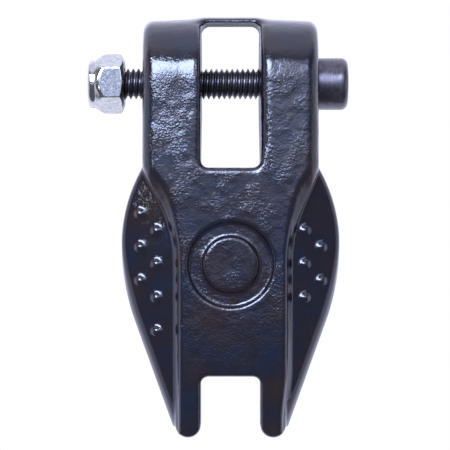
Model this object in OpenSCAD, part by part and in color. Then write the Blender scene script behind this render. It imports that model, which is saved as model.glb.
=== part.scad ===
// Cast safety latch for a lifting hook, with its pivot screw, lock nut and return springs.
// X runs along the pivot axis, -Y is the front of the latch, +Z points from the fork to the barrel.
// The origin is on the pivot axis, midway between the two ears. All sizes are in millimetres.

/* [Barrel] */
// Radius of the barrel around the pivot axis
barrel_r = 12.4; // [12:0.1:13]
// Width across the two ears
barrel_w = 33; // [32:0.5:34]
// Radius of the rounding at the barrel's two ends
barrel_round = 1.8; // [1:0.1:2]
// How much smaller the barrel's radius is at its two ends than at the window
barrel_crown = 0.4; // [0.2:0.1:0.6]
// Width of the window that takes the hook's lug
window_w = 11.2; // [10:0.1:11.6]
// Depth of the window below the pivot axis
window_drop = 16.4; // [15.5:0.1:17]
// Height of the window above the pivot axis
window_rise = 11.3; // [11.1:0.1:11.4]
// Radius of the pivot bore in the ears
bore_r = 3.04; // [3.02:0.01:3.05]

/* [Body] */
// Distance from the pivot axis down to the tips of the fork
fork_drop = 67; // [66:0.5:70]
// Width of the raised middle panel below its flare
panel_w = 20.8; // [20:0.2:22]
// Height below the axis at which the flare meets the straight sides
flare_drop = 34; // [33:0.5:36]
// Radius of the concave flare from the ears to the panel
flare_r = 25; // [24:0.5:27]
// Radius of the gentle bow of the front face, in side view
front_bow_r = 700; // [500:50:900]
// Distance of the flat rear seat in front of the pivot axis
seat_y = 2; // [1:0.5:3]
// Radius of the fillet behind the body, between the barrel and the seat
rear_fillet_r = 14; // [12:1:16]

/* [Fork] */
// Width of the slot between the two prongs
slot_w = 11.2; // [10:0.1:12]
// Height of the slot's closed end below the axis
slot_drop = 55.5; // [54:0.5:58]
// Radius of the corners of the slot and the window
corner_r = 1.4; // [1:0.1:2]
// Radius of the rounded prong tips
prong_r = 2.4; // [2:0.1:2.4]

/* [Wings] */
// Half of the width across the wings
wing_half = 20.6; // [20.5:0.1:21.5]
// Height below the axis of the widest point
wing_drop = 31; // [29:0.5:32]
// Radius of the wing outline above its widest point
wing_upper_r = 29; // [26:0.5:30]
// Radius of the wing outline below its widest point
wing_lower_r = 42; // [40:1:46]
// Angle of the straight taper that ends the wing, from the vertical
wing_taper = 20; // [19:0.2:21]
// Backward slope of the wings, going outwards
wing_slope = 15; // [10:1:20]
// Thickness of the wings
wing_t = 3; // [2.5:0.1:3.5]
// Step from the panel's front face back to the wing
wing_step = 2; // [1.5:0.1:2.5]
// Distance of the wings' hidden inner ends from the middle plane
wing_root = 6.5; // [6:0.5:7]

/* [Grip studs] */
// Radius of each round grip stud
stud_r = 1.2; // [1:0.05:1.3]
// Depth of each stud's centre below the wing's surface
stud_sunk = 0.5; // [0.4:0.05:0.6]
// Vertical pitch of the studs in one column
stud_pitch = 6.3; // [6:0.1:6.5]
// Distance of the outer column from the middle plane
stud_outer_x = 16.9; // [16.5:0.1:17.2]
// Distance of the inner column from the middle plane
stud_inner_x = 13.8; // [13.4:0.1:14]
// Height of the first outer stud below the axis
stud_drop = 25; // [24:0.5:26]

/* [Front ring mark] */
// Outer radius of the plain ring groove
ring_r = 8; // [7:0.5:8.5]
// Width of the groove
ring_w = 2.8; // [2:0.2:3]
// Depth of the groove below the front face
ring_depth = 0.9; // [0.5:0.1:1.2]
// Height of the ring's centre below the axis
ring_drop = 34.5; // [33:0.5:36]

/* [Hollow back] */
// Thickness of the front wall
wall_t = 3; // [2.5:0.1:3.2]
// Radius of the spring pockets around the axis
pocket_r = 9.2; // [9:0.1:9.4]
// Distance of the pockets' inner wall from the middle plane
pocket_in = 7.7; // [7.5:0.1:7.8]
// Distance of the pockets' outer wall from the middle plane
pocket_out = 13.5; // [13.3:0.1:13.6]
// Depth of the spring pockets below the axis
pocket_drop = 17; // [16.5:0.1:17]
// Width of the hollow behind the panel
hollow_w = 14.6; // [14:0.2:15]
// Height of the hollow's upper end below the axis
hollow_top = 20.5; // [20:0.5:22]
// Height of the hollow's lower end below the axis
hollow_bottom = 51; // [50:0.5:52]

/* [Screw] */
// Major radius of the thread
thread_r = 2.95; // [2.93:0.01:2.97]
// Pitch of the thread
pitch = 1; // [1:0.05:1]
// Length under the head
screw_len = 40; // [40:1:42]
// Radius of the head
head_r = 4.95; // [4.8:0.05:5.1]
// Height of the head
head_h = 5.9; // [5.7:0.1:6]
// Radius of the rounding at the head's outer edge
head_round = 1.1; // [0.6:0.1:1.2]
// Width across the flats of the hex socket
socket_af = 5; // [5:0.05:5.1]
// Depth of the hex socket
socket_depth = 3; // [2.8:0.1:3.2]

/* [Nut] */
// Width across the flats of the nut
nut_af = 9.9; // [9.8:0.05:10]
// Length of the nut's hexagon
nut_hex_h = 5.4; // [5.2:0.1:5.6]
// Length of the round collar that holds the locking ring
nut_collar_h = 1.5; // [1.4:0.1:1.7]
// Radius of the collar
nut_collar_r = 4.55; // [4.4:0.05:4.6]
// Gap between the nut and the ear, as assembled finger tight
nut_gap = 3.8; // [3.5:0.1:4]

/* [Springs] */
// Diameter of the spring wire
wire_d = 1.1; // [1:0.05:1.2]
// Mean radius of the coils
coil_r = 4.6; // [4.5:0.05:4.8]
// Length of the leg that bears on the hook
hook_leg = 15; // [14:0.5:16]
// Distance along the axis from the first coil to the last
coil_len = 4.3; // [4.2:0.1:4.4]

/* [Hidden] */
$fn = 96;

big = 200;
eps = 0.01;
seam = 0.05; // running clearance between neighbouring bodies
ear_x = barrel_w / 2;
window_x = window_w / 2;
panel_x = panel_w / 2;
front_y = -barrel_r;
end_r = barrel_r - barrel_crown; // radius of the barrel at its two ends
bow_y = front_y + front_bow_r; // centre of the front face's bow
rear_fillet_y = rear_fillet_r - seat_y;
rear_fillet_z = -sqrt(pow(barrel_r + rear_fillet_r, 2) - pow(rear_fillet_y, 2));
head_x = ear_x + seam; // underside of the head
screw_end_x = head_x - screw_len;
nut_x = -ear_x - nut_gap; // bearing face of the nut

// Depth of the bowed front face at a height z.
function front_at(z) = bow_y - sqrt(pow(front_bow_r, 2) - pow(z, 2));

// Stands a front-view outline, drawn as (x, z), up in the XZ plane and extrudes it through the part.
module through_y() {
    rotate([90, 0, 0]) linear_extrude(height = big, center = true) children();
}

// Stands a side-view outline, drawn as (y, z), up in the YZ plane and extrudes it by a width.
module across_x(width) {
    rotate([90, 0, 90]) linear_extrude(height = width, center = true) children();
}

module mirrored_pair() {
    children();
    mirror([1, 0, 0]) children();
}

// ---- Latch body: one casting ----

// Front view of the raised panel: ear width at the top, flaring in to straight sides.
module panel_outline() {
    flare_x = panel_x + flare_r;
    difference() {
        translate([-ear_x, -fork_drop - 5]) square([barrel_w, fork_drop + 5]);
        for (side = [-1, 1]) {
            translate([side * flare_x, -flare_drop]) circle(r = flare_r);
            translate([side * (panel_x + big / 2), -flare_drop - big / 2]) square(big, center = true);
        }
    }
}

// Front view of the shield made by the two wings.
module wing_outline() {
    upper_x = wing_half - wing_upper_r;
    lower_x = wing_half - wing_lower_r;
    taper_x = lower_x + wing_lower_r * cos(wing_taper);
    taper_z = -wing_drop - wing_lower_r * sin(wing_taper);
    end_x = taper_x - (fork_drop + taper_z) * tan(wing_taper);
    for (side = [0, 1]) mirror([side, 0]) {
        intersection() {
            translate([upper_x, -wing_drop]) circle(r = wing_upper_r, $fn = 180);
            translate([0, -wing_drop]) square([wing_half, wing_drop - 13]);
        }
        intersection() {
            translate([lower_x, -wing_drop]) circle(r = wing_lower_r, $fn = 360);
            translate([0, taper_z]) square([wing_half, -wing_drop - taper_z]);
        }
        polygon([[0, taper_z], [taper_x, taper_z], [end_x, -fork_drop], [0, -fork_drop]]);
    }
}

// Front view of the fork: a slot with round corners and two rounded tips.
module fork_cut() {
    slot_x = slot_w / 2;
    translate([-slot_x + corner_r, -slot_drop - corner_r]) square([slot_w - 2 * corner_r, corner_r]);
    for (side = [-1, 1]) translate([side * (slot_x - corner_r), -slot_drop - corner_r]) circle(r = corner_r);
    translate([-slot_x, -fork_drop - 5]) square([slot_w, fork_drop + 5 - slot_drop - corner_r]);
}

// Front view of everything below the prong tips' centres that the round tips leave.
module tip_cut() {
    tip_x = slot_w / 2 + prong_r;
    tip_z = -fork_drop + prong_r;
    difference() {
        translate([-30, tip_z - 10]) square([60, 10]);
        for (side = [-1, 1]) translate([side * tip_x, tip_z]) circle(r = prong_r);
    }
}

// Front view of the window, with round corners.
module window_cut() {
    inner_x = window_x - corner_r;
    for (x = [-inner_x, inner_x], z = [-window_drop + corner_r, window_rise - corner_r])
        translate([x, z]) circle(r = corner_r);
    translate([-inner_x, -window_drop]) square([2 * inner_x, window_drop + window_rise]);
    translate([-window_x, -window_drop + corner_r])
        square([window_w, window_drop + window_rise - 2 * corner_r]);
}

// Side view of the body below the barrel, before its front is bowed.
module side_outline() {
    difference() {
        polygon([
            [front_y - 1, 0], [front_y - 1, -fork_drop - 1], [-seat_y, -fork_drop - 1],
            [-seat_y, rear_fillet_z], [rear_fillet_y, rear_fillet_z], [0, 0]
        ]);
        translate([rear_fillet_y, rear_fillet_z]) circle(r = rear_fillet_r);
    }
}

// Everything behind the bowed front face, pushed back by an offset.
module behind_front(offset_y = 0) {
    translate([0, bow_y + offset_y, 0]) rotate([0, 90, 0])
        cylinder(r = front_bow_r, h = big, center = true, $fn = 720);
}

// The barrel that the ears are cut from. It is crowned, so that each ear slopes towards its outer end.
module barrel() {
    half = ear_x - barrel_round;
    rotate([0, 90, 0]) rotate_extrude() {
        polygon([
            [0, -ear_x], [end_r - barrel_round, -ear_x], [end_r, -half], [barrel_r, -window_x],
            [barrel_r, window_x], [end_r, half], [end_r - barrel_round, ear_x], [0, ear_x]
        ]);
        for (end = [-1, 1]) intersection() {
            translate([end_r - barrel_round, end * half]) circle(r = barrel_round);
            translate([0, -ear_x]) square([end_r, barrel_w]);
        }
    }
}

// Everything behind a front that is crowned in the same way as the barrel.
module behind_crown() {
    half = ear_x - barrel_round;
    translate([0, 0, -big / 2]) linear_extrude(big) polygon([
        [-half, -end_r], [-window_x, -barrel_r], [window_x, -barrel_r], [half, -end_r],
        [big / 2, -end_r], [big / 2, big / 2], [-big / 2, big / 2], [-big / 2, -end_r]
    ]);
}

module panel() {
    intersection() {
        across_x(barrel_w) side_outline();
        through_y() panel_outline();
        behind_front();
        behind_crown();
    }
}

// One sloping slab on the right, whose front lies a step behind the panel's front face.
module wing_slab() {
    lean = atan((front_at(-fork_drop) - front_at(-ear_x)) / (fork_drop - ear_x));
    translate([panel_x, front_at(-ear_x) + wing_step, -ear_x])
        rotate([lean, 0, 0]) rotate([0, 0, wing_slope])
            translate([-panel_x, 0, -fork_drop]) cube([2 * panel_x + 5, wing_t, fork_drop + 5]);
}

module wings() {
    intersection() {
        mirrored_pair() intersection() {
            wing_slab();
            translate([wing_root, -big / 2, -big]) cube(big);
        }
        through_y() wing_outline();
    }
}

// Depth of the wing's front surface at a place given by x and z.
function wing_front(x, z) = front_at(z) + wing_step + (x - panel_x) * tan(wing_slope);

// Studs of one column on the left (-1) or right (1) wing, in rows numbered from the top.
module stud_column(side, x, first_drop, rows) {
    for (i = rows) {
        z = -first_drop - i * stud_pitch;
        translate([side * x, wing_front(x, z) + stud_sunk, z]) sphere(r = stud_r, $fn = 32);
    }
}

// The left wing has one outer stud and one inner stud more than the right wing.
module grip_studs() {
    inner_drop = stud_drop + stud_pitch / 2;
    stud_column(-1, stud_outer_x, stud_drop, [0 : 2]);
    stud_column(-1, stud_inner_x, inner_drop, [0 : 3]);
    stud_column(1, stud_outer_x, stud_drop, [1 : 2]);
    stud_column(1, stud_inner_x, inner_drop, [0 : 2]);
}

// The bridge that closes the window over the crown of the barrel.
module crown_bridge() {
    bridge_half = 4.6;
    intersection() {
        rotate([0, 90, 0]) cylinder(r = barrel_r + 0.3, h = window_w + 2, center = true);
        translate([-window_w, -bridge_half, window_rise]) cube([2 * window_w, 2 * bridge_half, 5]);
    }
}

// The two pockets that hold the springs, open at the back.
module spring_pockets() {
    mirrored_pair() translate([(pocket_in + pocket_out) / 2, 0, 0]) {
        width = pocket_out - pocket_in;
        rotate([0, 90, 0]) cylinder(r = pocket_r, h = width, center = true);
        translate([-width / 2, 0, -pocket_r]) cube([width, 20, pocket_r + 7]);
        translate([-width / 2, -pocket_r, -pocket_drop]) cube([width, 30, pocket_drop]);
    }
}

// The hollow behind the panel, with round corners, leaving an even front wall.
module rear_hollow() {
    round_r = 2;
    inner_x = hollow_w / 2 - round_r;
    intersection() {
        behind_front(wall_t);
        through_y() {
            for (x = [-inner_x, inner_x], z = [-hollow_bottom + round_r, -hollow_top - round_r])
                translate([x, z]) circle(r = round_r);
            translate([-inner_x, -hollow_bottom]) square([2 * inner_x, hollow_bottom - hollow_top]);
            translate([-hollow_w / 2, -hollow_bottom + round_r])
                square([hollow_w, hollow_bottom - hollow_top - 2 * round_r]);
        }
    }
}

// The plain ring groove in the middle of the front face.
module ring_mark() {
    translate([0, front_at(-ring_drop) + ring_depth, -ring_drop]) rotate([90, 0, 0]) difference() {
        cylinder(r = ring_r, h = 10);
        translate([0, 0, -1]) cylinder(r = ring_r - ring_w, h = 12);
    }
}

module latch_body() color([0.05, 0.06, 0.09]) {
    difference() {
        union() {
            barrel();
            panel();
            wings();
            grip_studs();
        }
        through_y() {
            window_cut();
            fork_cut();
            tip_cut();
        }
        spring_pockets();
        rear_hollow();
        ring_mark();
        rotate([0, 90, 0]) cylinder(r = bore_r, h = 2 * barrel_w, center = true);
    }
    crown_bridge();
}

// ---- Pivot screw ----

// Half section of the threaded shank, as (radius, distance from the free end).
module thread_profile(length) {
    crest = pitch / 8;
    root = pitch / 4;
    depth = 0.6134 * pitch;
    flank = (pitch - crest - root) / 2;
    lead_in = 0.8;
    turns = floor((length - 3 - lead_in) / pitch);
    minor = thread_r - depth;
    polygon(concat(
        [[0, 0], [minor - 0.2, 0], [minor, lead_in - flank]],
        [for (i = [0 : turns - 1]) let (x = lead_in + i * pitch) each [
            [thread_r, x], [thread_r, x + crest],
            [minor, x + crest + flank], [minor, x + crest + flank + root]
        ]],
        [[thread_r, lead_in + turns * pitch], [thread_r, length], [0, length]]
    ));
}

module head_profile() {
    difference() {
        union() {
            square([head_r - head_round, head_h]);
            square([head_r, head_h - head_round]);
            translate([head_r - head_round, head_h - head_round]) circle(r = head_round);
        }
        translate([-10, -10]) square([10, 30]);
    }
}

module hex_socket() {
    socket_r = socket_af / sqrt(3);
    translate([0, 0, head_h - socket_depth]) cylinder(r = socket_r, h = socket_depth + 1, $fn = 6);
    translate([0, 0, head_h - socket_depth - 0.8]) cylinder(r1 = 0, r2 = socket_af / 2, h = 0.8 + eps, $fn = 48);
    translate([0, 0, head_h - 0.3]) cylinder(r1 = socket_r - 0.3, r2 = socket_r + 0.05, h = 0.35, $fn = 48);
}

module socket_screw() color([0.07, 0.07, 0.08]) {
    translate([screw_end_x, 0, 0]) rotate([0, 90, 0]) rotate_extrude() thread_profile(screw_len);
    translate([head_x, 0, 0]) rotate([0, 90, 0]) difference() {
        rotate_extrude() head_profile();
        hex_socket();
    }
}

// ---- Lock nut and its nylon ring, both built from the bearing face outwards along +Z ----

nut_h = nut_hex_h + nut_collar_h;
ring_seat_r = 4;
ring_seat_h = 2.1;
lip_h = 0.35;
lip_r = 3.55;
nut_bore_r = 3.02;

module nut_hexagon() {
    corner_r = nut_af / sqrt(3);
    chamfer_h = 0.9;
    intersection() {
        cylinder(r = corner_r, h = nut_hex_h, $fn = 6);
        union() {
            cylinder(r1 = nut_af / 2 - 0.1, r2 = corner_r + 0.05, h = chamfer_h);
            translate([0, 0, chamfer_h]) cylinder(r = corner_r + 0.05, h = nut_hex_h - 2 * chamfer_h);
            translate([0, 0, nut_hex_h - chamfer_h])
                cylinder(r1 = corner_r + 0.05, r2 = nut_af / 2 - 0.1, h = chamfer_h);
        }
    }
}

module collar_profile() {
    round_r = 0.8;
    translate([0, nut_hex_h - 0.5]) square([nut_collar_r, 0.5 + nut_collar_h - round_r]);
    translate([0, nut_hex_h - 0.5]) square([nut_collar_r - round_r, 0.5 + nut_collar_h]);
    translate([nut_collar_r - round_r, nut_h - round_r]) circle(r = round_r);
}

module lock_nut() color([0.78, 0.82, 0.86])
    translate([nut_x, 0, 0]) rotate([0, -90, 0]) difference() {
        union() {
            nut_hexagon();
            rotate_extrude() collar_profile();
        }
        translate([0, 0, -1]) cylinder(r = nut_bore_r, h = nut_h + 2);
        translate([0, 0, -eps]) cylinder(r1 = nut_bore_r + 0.5, r2 = nut_bore_r, h = 0.5);
        translate([0, 0, nut_h - lip_h - ring_seat_h]) cylinder(r = ring_seat_r, h = ring_seat_h);
        translate([0, 0, nut_h - lip_h - eps]) cylinder(r = lip_r, h = lip_h + 1);
    }

module nylon_ring() color([0.9, 0.9, 0.86])
    translate([nut_x, 0, 0]) rotate([0, -90, 0])
        translate([0, 0, nut_h - lip_h - ring_seat_h + seam]) difference() {
            cylinder(r = ring_seat_r - seam, h = ring_seat_h - 2 * seam);
            translate([0, 0, -1]) cylinder(r = nut_bore_r, h = ring_seat_h + 2);
        }

// ---- Torsion springs: a coil in each ear, one leg to the hook and one to the front wall ----

wire_sides = 8;
ring_step = 15; // degrees of coil between two rings of the wire
coil_x = 8.35; // first coil, next to the window
hook_phi = 95; // where the hook leg leaves the coil, from +Y towards +Z
wall_end = [-pocket_r + wire_d / 2 + 0.05, -15.4]; // tip of the latch leg, as (y, z)
wall_dist = norm(wall_end);
wall_leg = sqrt(wall_dist * wall_dist - coil_r * coil_r);
wall_phi = 360 + atan2(wall_end[1], wall_end[0]) - atan2(wall_leg, coil_r);
full_coils = 3;
coil_turn = wall_phi - hook_phi + 360 * full_coils;

function on_coil(phi) = [
    coil_x + coil_len * (phi - hook_phi) / coil_turn, coil_r * cos(phi), coil_r * sin(phi)
];

spring_path = concat(
    [for (s = [1 : -0.25 : 0.25]) on_coil(hook_phi) + s * hook_leg * [0, sin(hook_phi), -cos(hook_phi)]],
    [for (phi = [hook_phi : ring_step : hook_phi + coil_turn - 1]) on_coil(phi)],
    [on_coil(hook_phi + coil_turn)],
    [for (s = [0.25 : 0.25 : 1])
        on_coil(hook_phi + coil_turn) + s * wall_leg * [0, -sin(wall_phi), cos(wall_phi)]]
);

function unit(v) = v / norm(v);

function wire_ring(path, i) =
    let (
        last = len(path) - 1,
        along = unit(path[min(i + 1, last)] - path[max(i - 1, 0)]),
        side = unit(cross(along, [1, 0, 0])),
        up = cross(side, along)
    )
    [for (k = [0 : wire_sides - 1])
        let (a = 360 * k / wire_sides) path[i] + wire_d / 2 * (cos(a) * side + sin(a) * up)];

module wire(path) {
    rings = len(path);
    sides = wire_sides;
    polyhedron(
        points = [for (i = [0 : rings - 1]) each wire_ring(path, i)],
        faces = concat(
            [[for (k = [0 : sides - 1]) k]],
            [for (i = [0 : rings - 2], k = [0 : sides - 1]) let (n = (k + 1) % sides)
                [i * sides + k, (i + 1) * sides + k, (i + 1) * sides + n, i * sides + n]],
            [[for (k = [sides - 1 : -1 : 0]) (rings - 1) * sides + k]]
        )
    );
}

module right_spring() color([0.6, 0.6, 0.62]) wire(spring_path);
module left_spring() color([0.6, 0.6, 0.62]) mirror([1, 0, 0]) wire(spring_path);

latch_body();
socket_screw();
lock_nut();
nylon_ring();
left_spring();
right_spring();
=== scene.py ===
"""Looks for the hook safety latch kit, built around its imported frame.

Shapes are worked out in millimetres as distance fields, which are negative inside the solid. A field is
meshed on a grid, its vertices are moved onto the exact surface, and the mesh is scaled to metres.
X runs along the pivot axis, -Y is the front of the latch and +Z points from the fork to the barrel.
"""

import math

import bpy
import numpy as np
import openvdb
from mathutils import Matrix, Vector, noise

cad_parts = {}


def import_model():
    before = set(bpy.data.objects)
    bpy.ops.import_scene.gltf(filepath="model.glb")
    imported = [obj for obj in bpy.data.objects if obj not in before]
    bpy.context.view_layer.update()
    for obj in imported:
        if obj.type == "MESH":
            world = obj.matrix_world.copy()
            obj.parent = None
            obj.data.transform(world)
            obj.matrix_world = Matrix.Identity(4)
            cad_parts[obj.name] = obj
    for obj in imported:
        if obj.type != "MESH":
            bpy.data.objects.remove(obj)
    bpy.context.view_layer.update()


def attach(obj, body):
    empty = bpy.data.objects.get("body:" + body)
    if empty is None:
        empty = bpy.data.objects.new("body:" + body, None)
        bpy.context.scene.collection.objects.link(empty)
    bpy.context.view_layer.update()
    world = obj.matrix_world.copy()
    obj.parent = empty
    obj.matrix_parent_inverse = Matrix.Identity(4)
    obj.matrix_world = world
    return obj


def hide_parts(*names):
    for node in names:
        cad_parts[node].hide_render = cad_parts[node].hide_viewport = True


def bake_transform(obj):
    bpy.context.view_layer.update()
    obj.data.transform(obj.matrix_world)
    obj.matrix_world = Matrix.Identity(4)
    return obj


MM = 0.001

# Latch casting, in millimetres.
BARREL_R = 12.4
BARREL_CROWN = 0.4
BARREL_ROUND = 1.8
EAR_X = 16.5
WINDOW_X = 5.6
WINDOW_DROP = 16.4
WINDOW_RISE = 11.3
BRIDGE_Y = 4.4
BRIDGE_LIFT = 0.3
BORE_R = 3.04
FORK_DROP = 67
PANEL_X = 10.4
FLARE_DROP = 34
FLARE_R = 25
BOW_R = 700
SEAT_Y = -2
REAR_FILLET_R = 14
SLOT_X = 5.6
SLOT_DROP = 55.5
CORNER_R = 1.5
PRONG_R = 2.4
WING_HALF = 20.6
WING_DROP = 31
WING_UPPER_R = 29
WING_LOWER_R = 42
WING_TAPER = math.radians(20)
WING_SLOPE = math.radians(15)
WING_T = 3
WING_STEP = 2
WING_ROOT = 6.5
WING_END = 65.2
STUD_R = 1.15
STUD_SUNK = 0.5
STUD_PITCH = 6.3
STUD_OUTER_X = 16.9
STUD_INNER_X = 13.8
STUD_DROP = 25
GROOVE_R = 6.6
GROOVE_HALF = 1.4
GROOVE_DEPTH = 0.9
GROOVE_DROP = 34.5
WALL_T = 3
# The panel's side walls: how far in they start at the front face, their draft, and the depths it spans.
WALL_IN = 0.6
WALL_DRAFT = 0.7
WALL_FROM = 0.9
WALL_DEEP = 1.1
RIGHT_WALL_OUT = 0.8  # the right wall stands further out than the left one
# The bevel on the lower wings' rims, and how deep it goes.
RIM_BEVEL = 0.55
RIM_DEEP = 1.7
POCKET_R = 9.2
POCKET_IN = 7.7
POCKET_OUT = 13.5
POCKET_DROP = 17
POCKET_TOP = 7
HOLLOW_X = 7.3
HOLLOW_TOP = 20.5
HOLLOW_BOTTOM = 51

# Screw, nut and springs, in millimetres.
SEAM = 0.05
THREAD_R = 2.95
PITCH = 1.0
THREAD_DEPTH = 0.6134 * PITCH
SCREW_LEN = 40
HEAD_R = 4.95
HEAD_H = 5.9
SOCKET_AF = 5
SOCKET_DEPTH = 3
NUT_AF = 9.9
NUT_H = 6.9
NUT_HEX_END = 5.4
NUT_GAP = 3.8
COLLAR_R = 4.55
NUT_BORE_R = 3.02
RING_SEAT_R = 4.0
RING_SEAT_H = 2.1
LIP_H = 0.35
LIP_R = 3.55
WIRE_R = 0.55
COIL_R = 4.6
COIL_X = 8.35
COIL_LEN = 4.3
HOOK_LEG = 15
HOOK_PHI = 95

HEAD_X = EAR_X + SEAM
SCREW_END_X = HEAD_X - SCREW_LEN
NUT_X = -EAR_X - NUT_GAP


# ---- Distance fields ----


def meet(a, b, r):
    """What two solids share, with the edge between them rounded to a radius of r."""
    inside = np.minimum(np.maximum(a, b), -r)
    return inside + np.hypot(np.maximum(a + r, 0), np.maximum(b + r, 0))


def cut(a, b, r):
    """Solid a with solid b taken away, and the edges of the cut rounded to a radius of r."""
    return meet(a, -b, r)


def join(a, b, r):
    """Two solids together, with a fillet of radius r between them."""
    outside = np.maximum(np.minimum(a, b), r)
    return outside - np.hypot(np.maximum(r - a, 0), np.maximum(r - b, 0))


def rounded_rect(u, v, half_u, half_v, r):
    """A rectangle about the origin with round corners."""
    du = np.abs(u) - (half_u - r)
    dv = np.abs(v) - (half_v - r)
    corner = np.hypot(np.maximum(du, 0), np.maximum(dv, 0))
    return corner + np.minimum(np.maximum(du, dv), 0) - r


def span(v, low, high):
    """The slab between two planes."""
    return np.abs(v - (low + high) / 2) - (high - low) / 2


def ramp(v, low, high):
    """0 at low, 1 at high and smooth between them."""
    t = np.clip((v - low) / (high - low), 0, 1)
    return t * t * (3 - 2 * t)


# ---- The casting's field ----


def front_at(z):
    """Depth of the bowed front face at height z."""
    return BOW_R - BARREL_R - np.sqrt(BOW_R**2 - z**2)


def wing_front(x, z):
    """Depth of a wing's front surface."""
    return front_at(z) + WING_STEP + (np.abs(x) - PANEL_X) * math.tan(WING_SLOPE)


def side_profile(x, y, z):
    """Side view: the barrel, the bowed front, the flat seat and the fillet behind the body."""
    fillet_y = REAR_FILLET_R + SEAT_Y
    fillet_z = -math.sqrt((BARREL_R + REAR_FILLET_R) ** 2 - fillet_y**2)
    reach = BARREL_R + REAR_FILLET_R
    crown_slope = BARREL_CROWN / (EAR_X - BARREL_ROUND - WINDOW_X)
    lift = BRIDGE_LIFT * ramp(-np.abs(x), -8, -4.6) * ramp(-np.abs(y), -6, -3)
    crown = BARREL_R + lift - crown_slope * np.maximum(np.abs(x) - WINDOW_X, 0)
    barrel = np.hypot(y, z) - crown
    front = np.maximum(np.hypot(y + BARREL_R - BOW_R, z) - BOW_R, -y - crown)
    fillet = REAR_FILLET_R - np.hypot(y - fillet_y, z - fillet_z)
    rear = np.where(z < fillet_z, y - SEAT_Y, fillet)
    beyond = (z * fillet_y - y * fillet_z) / reach
    body = np.maximum(np.maximum(front, rear), np.maximum(beyond, z))
    return np.minimum(barrel, body)


def front_profile(x, y, z):
    """Front view: ears flaring in to the panel, the fork's slot and its round tips."""
    ax = np.abs(x)
    flare = FLARE_R - np.hypot(ax - PANEL_X - FLARE_R, z + FLARE_DROP)
    side = np.where(z < -FLARE_DROP, ax - PANEL_X, flare)
    outline = meet(ax - EAR_X, side, 1.5)
    wall = WALL_DRAFT * np.clip(y - front_at(z) - WALL_FROM, 0, WALL_DEEP) - WALL_IN
    outline = outline - wall * ramp(-z, 15, 22)
    outline = outline - np.where(x > 0, RIGHT_WALL_OUT, 0) * ramp(-z, 15, 26) * ramp(z, -64, -54)
    slot_low = FORK_DROP + 10
    slot = rounded_rect(x, z + (SLOT_DROP + slot_low) / 2, SLOT_X, (slot_low - SLOT_DROP) / 2, CORNER_R)
    outline = np.maximum(outline, -slot)
    tip_z = PRONG_R - FORK_DROP
    prong = np.hypot(ax - SLOT_X - PRONG_R, np.minimum(z - tip_z, 0)) - PRONG_R
    return np.where(z < -60, np.maximum(outline, prong), outline)


def wing_profile(x, z):
    """Front view of the shield made by the two wings."""
    ax = np.abs(x)
    dz = z + WING_DROP
    upper = np.hypot(ax - WING_HALF + WING_UPPER_R, dz) - WING_UPPER_R
    lower = np.hypot(ax - WING_HALF + WING_LOWER_R, dz) - WING_LOWER_R
    taper_x = WING_HALF - WING_LOWER_R * (1 - math.cos(WING_TAPER))
    taper_z = -WING_DROP - WING_LOWER_R * math.sin(WING_TAPER)
    taper = (ax - taper_x) * math.cos(WING_TAPER) - (z - taper_z) * math.sin(WING_TAPER)
    outline = np.where(dz > 0, upper, np.where(z > taper_z, lower, taper))
    return np.maximum(outline, -z - WING_END)


def wings(x, y, z):
    """Two sloping plates with round rims."""
    through = (y - wing_front(x, z)) * math.cos(WING_SLOPE)
    bevel = RIM_BEVEL * np.clip(RIM_DEEP - through, 0, RIM_DEEP) * ramp(-z, 28, 44)
    plate = meet(span(through, 0, WING_T), wing_profile(x, z) + bevel, 1.0)
    return np.maximum(plate, WING_ROOT - np.abs(x))


def window(x, y, z):
    """The opening between the ears, closed over the crown by a thin bridge."""
    top = 2 * BARREL_R
    opening = rounded_rect(x, z + (WINDOW_DROP - top) / 2, WINDOW_X, (WINDOW_DROP + top) / 2, CORNER_R)
    bridge = meet(WINDOW_RISE - z, np.abs(y) - BRIDGE_Y, 0.65)
    return meet(opening, -bridge, 1.6)


def spring_pockets(x, y, z):
    """The two pockets in the ears, open at the back."""
    hub = np.hypot(y, z) - POCKET_R
    mouth = np.maximum(span(y, 0, 30), span(z, -POCKET_R, POCKET_TOP))
    drop = np.maximum(span(y, -POCKET_R, 30), span(z, -POCKET_DROP, 0))
    side = np.minimum(hub, np.minimum(mouth, drop))
    return meet(side, span(np.abs(x), POCKET_IN, POCKET_OUT), 0.8)


def rear_hollow(x, y, z):
    """The hollow behind the panel, which leaves an even front wall."""
    middle = (HOLLOW_TOP + HOLLOW_BOTTOM) / 2
    outline = rounded_rect(x, z + middle, HOLLOW_X, (HOLLOW_BOTTOM - HOLLOW_TOP) / 2, 2)
    return meet(outline, front_at(z) + WALL_T - y, 0.8)


def ring_groove(x, y, z):
    """The plain ring pressed into the front face."""
    around = np.abs(np.hypot(x, z + GROOVE_DROP) - GROOVE_R) - GROOVE_HALF
    return meet(around, y - front_at(z) - GROOVE_DEPTH, 0.6)


def stud_places():
    """Where the grip studs are, as (x, z). The left wing has two more than the right one."""
    columns = [
        (-STUD_OUTER_X, 0, range(3)),
        (-STUD_INNER_X, 0.5, range(4)),
        (STUD_OUTER_X, 0, range(1, 3)),
        (STUD_INNER_X, 0.5, range(3)),
    ]
    return [(x, -STUD_DROP - (row + shift) * STUD_PITCH) for x, shift, rows in columns for row in rows]


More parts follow.
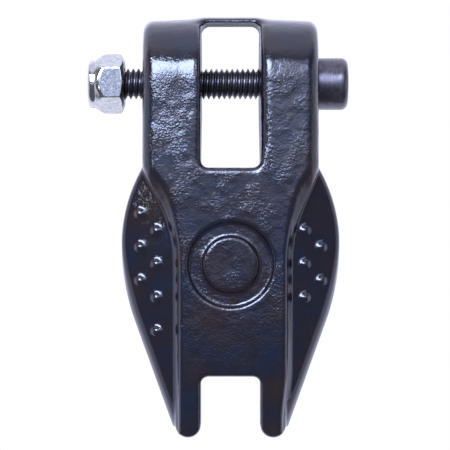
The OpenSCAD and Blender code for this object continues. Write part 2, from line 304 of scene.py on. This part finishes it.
def casting(x, y, z):
    """The whole latch casting."""
    softness = 1.0 + (0.7 + 0.9 * ramp(-y, 5, 10)) * ramp(z, -32, -16)
    solid = meet(side_profile(x, y, z), front_profile(x, y, z), softness)
    extra = 0.9 * ramp(x, -1, 1) * ramp(-y, 6, 10) * ramp(z, -15, -11)
    solid = cut(solid, window(x, y, z), 1.1 + extra)
    solid = join(solid, wings(x, y, z), 0.4)
    for stud_x, stud_z in stud_places():
        stud_y = wing_front(np.float64(stud_x), np.float64(stud_z)) + STUD_SUNK
        stud = np.sqrt((x - stud_x) ** 2 + (y - stud_y) ** 2 + (z - stud_z) ** 2) - STUD_R
        solid = join(solid, stud, 0.3)
    solid = cut(solid, ring_groove(x, y, z), 0.5)
    solid = cut(solid, spring_pockets(x, y, z), 0.7)
    solid = cut(solid, rear_hollow(x, y, z), 0.8)
    return cut(solid, np.hypot(y, z) - BORE_R, 0.3)


# ---- Fields of the screw's head, the nut and the locking ring ----


def hexagon(v, w, across_flats):
    """A hexagon with flats across v."""
    sloped = np.abs(v) / 2 + np.abs(w) * math.sqrt(3) / 2
    return np.maximum(np.abs(v), sloped) - across_flats / 2


def screw_head(x, y, z):
    """The round head with its hex socket, which opens towards +X."""
    q = np.hypot(y, z)
    up = x - HEAD_X
    head = meet(q - HEAD_R, up - HEAD_H, 1.3)
    head = meet(head, -up, 0.25)
    socket = np.maximum(hexagon(y, z, SOCKET_AF), HEAD_H - SOCKET_DEPTH - up)
    drill = np.maximum(q - SOCKET_AF / 2, (q - SOCKET_AF / 2) * 0.3 + HEAD_H - SOCKET_DEPTH - 0.1 - up)
    mouth = (q - SOCKET_AF / math.sqrt(3) + (HEAD_H - up)) * 0.7
    return cut(head, np.minimum(np.minimum(socket, drill), mouth), 0.15)


def nut_shell(x, y, z):
    """The hexagon with its chamfers, the collar, the bore and the seat for the ring."""
    q = np.hypot(y, z)
    up = NUT_X - x
    bearing = math.radians(25)
    shoulder = math.radians(54)
    near = (q - 4.3) * math.sin(bearing) - up * math.cos(bearing)
    far = (q - 4.7) * math.sin(shoulder) - (NUT_HEX_END - up) * math.cos(shoulder)
    hexed = meet(hexagon(y, z, NUT_AF), near, 0.1)
    hexed = meet(meet(hexed, far, 0.3), span(up, 0, NUT_HEX_END), 0.15)
    collar = meet(q - COLLAR_R, span(up, 3, NUT_H), 0.8)
    solid = join(hexed, collar, 0.35)
    bore = np.minimum(q - NUT_BORE_R, (q - NUT_BORE_R - 0.5 + up) * 0.7)
    seat = np.maximum(q - RING_SEAT_R, span(up, NUT_H - LIP_H - RING_SEAT_H, NUT_H - LIP_H))
    mouth = np.maximum(q - LIP_R, NUT_H - LIP_H - up)
    return cut(solid, np.minimum(np.minimum(bore, seat), mouth), 0.12)


def locking_ring(x, y, z):
    """The nylon ring in the nut's collar."""
    q = np.hypot(y, z)
    up = NUT_X - x - (NUT_H - LIP_H - RING_SEAT_H)
    ring = meet(q - RING_SEAT_R + SEAM, span(up, SEAM, RING_SEAT_H - SEAM), 0.15)
    return cut(ring, q - NUT_BORE_R, 0.25)


# ---- Meshes ----


def mesh_object(name, points, faces):
    """A smooth-shaded object from points in millimetres."""
    mesh = bpy.data.meshes.new(name)
    mesh.from_pydata((np.asarray(points) * MM).tolist(), [], [list(map(int, f)) for f in faces])
    mesh.validate()
    mesh.polygons.foreach_set("use_smooth", [True] * len(mesh.polygons))
    mesh.update()
    made = bpy.data.objects.new(name, mesh)
    bpy.context.scene.collection.objects.link(made)
    return made


def slope_of(field, p, step):
    """The field's gradient at points p."""
    columns = []
    for axis in range(3):
        shift = np.zeros(3)
        shift[axis] = step
        columns.append((field(*(p + shift).T) - field(*(p - shift).T)) / (2 * step))
    return np.stack(columns, 1)


def solid_of(name, field, low, high, cell):
    """Meshes a field inside a box, and moves the vertices onto the exact surface."""
    low = np.array(low, float) - 2.5 * cell
    counts = np.ceil((np.array(high) + 2.5 * cell - low) / cell).astype(int)
    axes = [low[i] + cell * np.arange(counts[i]) for i in range(3)]
    x, y, z = np.meshgrid(*axes, indexing="ij")
    grid = openvdb.FloatGrid(3 * cell)
    grid.copyFromArray(np.clip(field(x, y, z), -3 * cell, 3 * cell).astype(np.float32))
    points, quads = grid.convertToQuads()
    points = np.asarray(points, float) * cell + low
    for _ in range(3):
        slope = slope_of(field, points, cell / 8)
        steep = np.maximum((slope**2).sum(1), 0.2)
        step = -(field(*points.T) / steep)[:, None] * slope
        length = np.maximum(np.linalg.norm(step, axis=1), 1e-9)
        points += step * np.minimum(1, 0.4 * cell / length)[:, None]
    return mesh_object(name, points, np.asarray(quads)[:, ::-1])


def cast_roughness(piece):
    """Stores how rough the casting is at each vertex: less on the wings, the fork and the upper ears."""
    x, y, z = np.array([v.co for v in piece.data.vertices]).T / MM
    wing = ramp(front_profile(x, y, z), -1.2, 0.2) * ramp(-z, 14, 20)
    amount = (1 - 0.75 * wing) * (1 - 0.4 * ramp(-z, 38, 50)) * (1 - 0.45 * ramp(z, 0, 3))
    layer = piece.data.attributes.new("cast", "FLOAT", "POINT")
    layer.data.foreach_set("value", amount)
    return amount


def roughen(piece, size, depth, amounts):
    """Moves a piece's vertices in and out along their normals by smooth noise, as a sand casting has."""
    normals = [v.normal.copy() for v in piece.data.vertices]
    for v, normal, amount in zip(piece.data.vertices, normals, amounts):
        p = v.co / (size * MM)
        v.co += normal * float(amount) * depth * MM * (noise.noise(p) + 0.5 * noise.noise(p * 2.1))
    piece.data.update()


def join_pieces(name, pieces):
    """Several meshes as one object."""
    points, faces, base = [], [], 0
    for piece in pieces:
        co = np.array([v.co for v in piece.data.vertices]) / MM
        points.append(co)
        faces += [[base + i for i in p.vertices] for p in piece.data.polygons]
        base += len(co)
        bpy.data.objects.remove(piece)
    return mesh_object(name, np.vstack(points), faces)


def ring_mesh(name, rings):
    """A closed tube through rings of points, with flat ends."""
    count, sides = rings.shape[:2]
    points = rings.reshape(-1, 3)
    faces = [list(range(sides))[::-1], [(count - 1) * sides + k for k in range(sides)]]
    for i in range(count - 1):
        for k in range(sides):
            n = (k + 1) % sides
            faces.append([i * sides + k, i * sides + n, (i + 1) * sides + n, (i + 1) * sides + k])
    return mesh_object(name, points, faces)


def thread_radius(phase):
    """Radius of the M6 thread at a phase of 0 to 1 along one pitch."""
    corners = [0, 0.06, 0.125, 0.4, 0.4375, 0.5625, 0.6875, 0.725, 1]
    depths = [0.03, 0, 0.03, 0.93, 0.985, 1, 0.985, 0.93, 0.03]
    return THREAD_R - THREAD_DEPTH * np.interp(phase % 1, corners, depths)


def shank():
    """The threaded shank: rings across the axis, each with the helix's radius at its own angle."""
    sides = 72
    steps_per_turn = 16
    length = SCREW_LEN + 0.3
    along = np.linspace(0, length, int(length / PITCH * steps_per_turn) + 1)
    angle = 2 * np.pi * np.arange(sides) / sides
    u, a = np.meshgrid(along, angle, indexing="ij")
    radius = thread_radius(u / PITCH + a / (2 * np.pi))
    lead_in = THREAD_R - THREAD_DEPTH - 0.15 + u * 0.9
    radius = np.minimum(radius, lead_in)
    neck = ramp(u, SCREW_LEN - 1.2, SCREW_LEN - 0.4)
    radius = radius + (THREAD_R - radius) * neck
    rings = np.stack([SCREW_END_X + u, radius * np.cos(a), radius * np.sin(a)], 2)
    return ring_mesh("shank", rings)


def spring_path():
    """Centre line of the right spring: hook leg, coils, and the leg inside the front wall."""
    wall_end = np.array([-POCKET_R + WIRE_R + 0.05, -15.4])
    wall_dist = np.linalg.norm(wall_end)
    wall_leg = math.sqrt(wall_dist**2 - COIL_R**2)
    hook_phi = math.radians(HOOK_PHI)
    wall_phi = 2 * math.pi + math.atan2(wall_end[1], wall_end[0]) - math.atan2(wall_leg, COIL_R)
    turn = wall_phi - hook_phi + 6 * math.pi

    def on_coil(phi):
        climb = COIL_X + COIL_LEN * (phi - hook_phi) / turn
        return np.array([climb, COIL_R * math.cos(phi), COIL_R * math.sin(phi)])

    hook_way = np.array([0, math.sin(hook_phi), -math.cos(hook_phi)])
    wall_way = np.array([0, -math.sin(wall_phi), math.cos(wall_phi)])
    first, last = on_coil(hook_phi), on_coil(hook_phi + turn)
    path = [first + s * HOOK_LEG * hook_way for s in np.linspace(1, 0.04, 20)]
    path += [on_coil(phi) for phi in np.linspace(hook_phi, hook_phi + turn, 180)]
    path += [last + s * wall_leg * wall_way for s in np.linspace(0.04, 1, 20)]
    return np.array(path)


def spring(name, side):
    """One torsion spring of round wire, on the side that the sign names."""
    sides = 16
    path = spring_path() * [side, 1, 1]
    along = np.gradient(path, axis=0)
    along /= np.linalg.norm(along, axis=1)[:, None]
    across = np.cross(along, [1.0, 0.0, 0.0])
    across /= np.linalg.norm(across, axis=1)[:, None]
    up = np.cross(along, across)
    radius = np.full(len(path), WIRE_R)
    radius[[0, -1]] = WIRE_R - 0.12
    path[0] -= along[0] * 0.1
    angle = 2 * np.pi * np.arange(sides) / sides
    circle = np.cos(angle)[None, :, None] * across[:, None] + np.sin(angle)[None, :, None] * up[:, None]
    return ring_mesh(name, path[:, None] + radius[:, None, None] * circle)


# ---- Materials ----


class Nodes:
    """A short way to build a node material."""

    def __init__(self, name):
        self.material = bpy.data.materials.new(name)
        self.material.use_nodes = True
        self.tree = self.material.node_tree
        self.shader = self.tree.nodes["Principled BSDF"]
        self.place = self.add("ShaderNodeTexCoord").outputs["Object"]

    def add(self, kind, **values):
        """A node with its properties and input values set."""
        made = self.tree.nodes.new(kind)
        for key, value in values.items():
            if key in made.inputs:
                made.inputs[key].default_value = value
            else:
                setattr(made, key, value)
        return made

    def link(self, out, into):
        self.tree.links.new(out, into)

    def noise(self, size_mm, detail=2.0, stretch=None, roughness=0.5):
        """A noise whose features are about size_mm across."""
        where = self.place
        if stretch:
            mapping = self.add("ShaderNodeMapping")
            mapping.inputs["Scale"].default_value = stretch
            self.link(where, mapping.inputs["Vector"])
            where = mapping.outputs["Vector"]
        made = self.add("ShaderNodeTexNoise", Scale=1 / (size_mm * MM), Detail=detail, Roughness=roughness)
        self.link(where, made.inputs["Vector"])
        return made.outputs["Fac"]

    def range(self, value, low, high, to_low, to_high):
        """Maps a value from one range to another."""
        made = self.add("ShaderNodeMapRange")
        for key, number in zip(("From Min", "From Max", "To Min", "To Max"), (low, high, to_low, to_high)):
            made.inputs[key].default_value = number
        self.link(value, made.inputs["Value"])
        return made.outputs["Result"]

    def colours(self, value, stops):
        """A colour ramp over (position, colour) stops."""
        made = self.add("ShaderNodeValToRGB")
        ramp_stops = made.color_ramp.elements
        while len(ramp_stops) < len(stops):
            ramp_stops.new(0.5)
        for stop, (position, colour) in zip(ramp_stops, stops):
            stop.position = position
            stop.color = (*colour, 1)
        self.link(value, made.inputs["Fac"])
        return made.outputs["Color"]

    def scaled(self, value, factor):
        """A value times a factor, which is a number or a socket."""
        made = self.add("ShaderNodeMath", operation="MULTIPLY")
        self.link(value, made.inputs[0])
        if isinstance(factor, bpy.types.NodeSocket):
            self.link(factor, made.inputs[1])
        else:
            made.inputs[1].default_value = factor
        return made.outputs["Value"]

    def bump(self, height, distance_mm, strength, after=None):
        """A bump from a height, added to an earlier one."""
        made = self.add("ShaderNodeBump", Distance=distance_mm * MM, Strength=strength)
        self.link(height, made.inputs["Height"])
        if after is not None:
            self.link(after, made.inputs["Normal"])
        return made.outputs["Normal"]

    def surface(self, **values):
        """Sets the shader's sockets, by number or by link."""
        for key, value in values.items():
            socket = self.shader.inputs[key.replace("_", " ")]
            if isinstance(value, bpy.types.NodeSocket):
                self.link(value, socket)
            else:
                socket.default_value = value


def black_paint():
    """Glossy blue-black enamel that has pooled over a rough casting."""
    n = Nodes("black_paint")
    cast = n.add("ShaderNodeAttribute", attribute_name="cast").outputs["Fac"]
    broad = n.noise(6, 3)
    lumps = n.noise(2.2, 4, roughness=0.6)
    peel = n.noise(0.65, 3, roughness=0.6)
    fine = n.noise(0.38, 2)
    patchy = n.scaled(n.range(n.noise(4.5, 2), 0.40, 0.60, 0.45, 1.4), cast)
    normal = n.bump(n.scaled(lumps, cast), 0.5, 0.09)
    normal = n.bump(n.scaled(peel, patchy), 0.14, 0.38, normal)
    normal = n.bump(n.scaled(fine, patchy), 0.07, 0.85, normal)
    shades = [(0.30, (0.009, 0.005, 0.005)), (0.5, (0.005, 0.004, 0.006)), (0.7, (0.003, 0.005, 0.010))]
    colour = n.colours(broad, shades)
    n.surface(
        Base_Color=colour,
        Roughness=n.range(n.scaled(peel, cast), 0.1, 0.7, 0.10, 0.19),
        Normal=normal,
        IOR=1.55,
    )
    return n.material


def black_oxide():
    """Satin black oxide with faint turning rings around the axis."""
    n = Nodes("black_oxide")
    rings = n.noise(0.35, 2, stretch=(1, 0.02, 0.02))
    fine = n.noise(0.12, 2)
    normal = n.bump(rings, 0.04, 0.35)
    normal = n.bump(fine, 0.02, 0.25, normal)
    colour = n.colours(n.noise(1.2, 3), [(0.3, (0.060, 0.054, 0.059)), (0.7, (0.106, 0.097, 0.107))])
    n.surface(Base_Color=colour, Roughness=n.range(rings, 0.3, 0.7, 0.26, 0.36), Normal=normal, Metallic=0.9)
    return n.material


def zinc():
    """Bright blue-white zinc plate with handling marks."""
    n = Nodes("zinc")
    marks = n.noise(0.35, 4, roughness=0.7)
    scratches = n.noise(0.6, 2, stretch=(0.25, 1, 2.2))
    normal = n.bump(marks, 0.03, 0.22)
    normal = n.bump(scratches, 0.02, 0.2, normal)
    grain = n.noise(0.7, 2, roughness=0.8)
    colour = n.colours(grain, [(0.40, (0.34, 0.345, 0.32)), (0.60, (0.46, 0.465, 0.43))])
    n.surface(Base_Color=colour, Metallic=1.0, Roughness=n.range(marks, 0.3, 0.7, 0.09, 0.15), Normal=normal)
    return n.material


def nylon():
    """Natural nylon, slightly cloudy."""
    n = Nodes("nylon")
    cloud = n.noise(0.8, 3)
    colour = n.colours(cloud, [(0.3, (0.66, 0.67, 0.60)), (0.7, (0.78, 0.79, 0.73))])
    n.surface(
        Base_Color=colour,
        Roughness=n.range(cloud, 0.3, 0.7, 0.38, 0.5),
        Normal=n.bump(n.noise(0.15, 2), 0.02, 0.3),
        Subsurface_Weight=0.25,
        Subsurface_Scale=0.001,
    )
    return n.material


def spring_wire():
    """Drawn spring steel with a dull oil film."""
    n = Nodes("spring_wire")
    draw = n.noise(0.3, 3)
    colour = n.colours(n.noise(1.5, 2), [(0.3, (0.34, 0.34, 0.36)), (0.7, (0.48, 0.48, 0.49))])
    n.surface(
        Base_Color=colour,
        Metallic=1.0,
        Roughness=n.range(draw, 0.3, 0.7, 0.26, 0.4),
        Normal=n.bump(draw, 0.02, 0.3),
    )
    return n.material


def paper():
    """The pale floor."""
    n = Nodes("floor_paper")
    colour = n.colours(n.noise(60, 2), [(0.3, (0.86, 0.86, 0.87)), (0.7, (0.90, 0.90, 0.91))])
    n.surface(Base_Color=colour, Roughness=n.range(n.noise(4, 2), 0.3, 0.7, 0.55, 0.65))
    return n.material


def dress(piece, material):
    """Gives a piece its material."""
    piece.data.materials.clear()
    piece.data.materials.append(material)
    return piece


# ---- The stage ----


def camera():
    """A camera square to the front, at the height of the latch's middle."""
    distance = 350
    width_seen = 86.5
    data = bpy.data.cameras.new("camera")
    data.sensor_width = 36
    data.lens = data.sensor_width * distance / width_seen
    data.clip_start = 0.01
    made = bpy.data.objects.new("camera", data)
    made.location = Vector((-1.05, -distance, -27.1)) * MM
    made.rotation_euler = (math.pi / 2, 0, 0)
    bpy.context.scene.collection.objects.link(made)
    bpy.context.scene.camera = made


def softbox(name, azimuth, elevation, distance, width, height, radiance, colour):
    """An area light aimed at the latch. Azimuth 0 is in front, and grows towards +X."""
    data = bpy.data.lights.new(name, "AREA")
    data.shape = "RECTANGLE"
    data.size, data.size_y = width, height
    data.color = colour
    data.energy = radiance * math.pi * width * height
    made = bpy.data.objects.new(name, data)
    a, e = math.radians(azimuth), math.radians(elevation)
    way = Vector((math.sin(a) * math.cos(e), -math.cos(a) * math.cos(e), math.sin(e)))
    made.location = way * distance + Vector((0, 0, -0.02))
    made.rotation_euler = way.to_track_quat("Z", "Y").to_euler()
    bpy.context.scene.collection.objects.link(made)


def world():
    """Bright behind, aside and overhead, dim straight behind, and dark in front, where the camera is."""
    made = bpy.data.worlds.new("studio")
    bpy.context.scene.world = made
    made.use_nodes = True
    tree = made.node_tree
    nodes, links = tree.nodes, tree.links
    shade = nodes["Background"]
    where = nodes.new("ShaderNodeTexCoord")
    parts = nodes.new("ShaderNodeSeparateXYZ")
    links.new(where.outputs["Generated"], parts.inputs["Vector"])

    def band(value, low, high, to_low, to_high):
        made = nodes.new("ShaderNodeMapRange")
        made.interpolation_type = "SMOOTHSTEP"
        for key, number in zip(("From Min", "From Max", "To Min", "To Max"), (low, high, to_low, to_high)):
            made.inputs[key].default_value = number
        links.new(value, made.inputs["Value"])
        return made.outputs["Result"]

    def larger(a, b):
        made = nodes.new("ShaderNodeMath")
        made.operation = "MAXIMUM"
        links.new(a, made.inputs[0])
        links.new(b, made.inputs[1])
        return made.outputs["Value"]

    def times(a, b):
        made = nodes.new("ShaderNodeMath")
        made.operation = "MULTIPLY"
        links.new(a, made.inputs[0])
        links.new(b, made.inputs[1])
        return made.outputs["Value"]

    behind = band(parts.outputs["Y"], 0.05, 0.30, 0.26, 2.0)
    top = nodes.new("ShaderNodeVectorMath")
    top.operation = "DOT_PRODUCT"
    top.inputs[1].default_value = (0, 0.174, 0.985)  # straight up, tilted 10 degrees to the back
    links.new(where.outputs["Generated"], top.inputs[0])
    above = band(top.outputs["Value"], 0.42, 0.85, 0.0, 1.7)
    aside = nodes.new("ShaderNodeMath")
    aside.operation = "ABSOLUTE"
    links.new(parts.outputs["X"], aside.inputs[0])
    sides = band(aside.outputs["Value"], 0.78, 0.96, 0.0, 1.5)
    lit = larger(larger(behind, above), sides)
    straight_behind = band(parts.outputs["Y"], 0.93, 0.99, 1.0, 0.3)
    # Lower down it is dimmer still, which the underside of the bridge reflects.
    off_centre = band(parts.outputs["Y"], 0.93, 0.985, 1.0, 0.0)
    low_behind = larger(band(parts.outputs["Z"], -0.10, -0.04, 0.35, 1.0), off_centre)
    strength = times(times(lit, straight_behind), low_behind)
    links.new(strength, shade.inputs["Strength"])
    shade.inputs["Color"].default_value = (0.74, 0.76, 1.0, 1)
    seen = nodes.new("ShaderNodeBackground")
    seen.inputs["Color"].default_value = (1, 1, 1, 1)
    seen.inputs["Strength"].default_value = 1.0
    path = nodes.new("ShaderNodeLightPath")
    mix = nodes.new("ShaderNodeMixShader")
    links.new(path.outputs["Is Camera Ray"], mix.inputs["Fac"])
    links.new(shade.outputs["Background"], mix.inputs[1])
    links.new(seen.outputs["Background"], mix.inputs[2])
    links.new(mix.outputs["Shader"], nodes["World Output"].inputs["Surface"])


def floor():
    """A round pale floor, below the latch and out of the main view."""
    sides = 96
    angle = 2 * np.pi * np.arange(sides) / sides
    level = -165
    points = np.stack([320 * np.cos(angle), 320 * np.sin(angle), np.full(sides, level)], 1)
    made = mesh_object("floor", points, [list(range(sides))])
    made.data.materials.append(paper())
    made.visible_glossy = False


# ---- The scene ----

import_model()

camera()
world()
floor()
softbox("key", -21, 25, 1.0, 0.66, 0.50, 30, (0.57, 0.68, 1.0))
softbox("fill", 18, 22, 1.02, 0.62, 0.60, 3.6, (0.60, 0.66, 1.0))
softbox("low_fill", 0, 0, 1.05, 0.5, 0.26, 1.2, (0.52, 0.60, 1.0))
softbox("spark_right", 21, 28, 0.9, 0.04, 0.04, 90, (1.0, 1.0, 1.0))
softbox("spark_left", -29, 0, 0.9, 0.03, 0.03, 60, (1.0, 1.0, 1.0))
softbox("spark_high", -54, 35, 0.9, 0.04, 0.04, 70, (1.0, 1.0, 1.0))

paint = black_paint()
oxide = black_oxide()
steel = spring_wire()

latch = solid_of("cast_latch", casting, (-21, -12.6, -67.2), (21, 12.6, 12.9), 0.36)
roughen(latch, 2.2, 0.025, cast_roughness(latch))
dress(latch, paint)
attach(latch, "latch")
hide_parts("latch_body")

head = solid_of("head", screw_head, (HEAD_X, -5, -5), (HEAD_X + HEAD_H, 5, 5), 0.14)
screw = join_pieces("pivot_screw", [shank(), head])
dress(screw, oxide)
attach(screw, "pivot")
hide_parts("socket_screw")

nut = solid_of("nut_shell", nut_shell, (NUT_X - NUT_H, -5.8, -5.8), (NUT_X, 5.8, 5.8), 0.13)
dress(nut, zinc())
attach(nut, "nut")
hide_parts("lock_nut")

ring = solid_of("locking_ring", locking_ring, (NUT_X - NUT_H, -4, -4), (NUT_X - NUT_H + 2.5, 4, 4), 0.13)
dress(ring, nylon())
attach(ring, "insert")
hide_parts("nylon_ring")

for label, sign in (("left", -1), ("right", 1)):
    coil = dress(spring("return_spring_" + label, sign), steel)
    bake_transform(coil)
    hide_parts(label + "_spring")

scene = bpy.context.scene
scene.view_settings.view_transform = "Standard"
scene.cycles.use_denoising = True
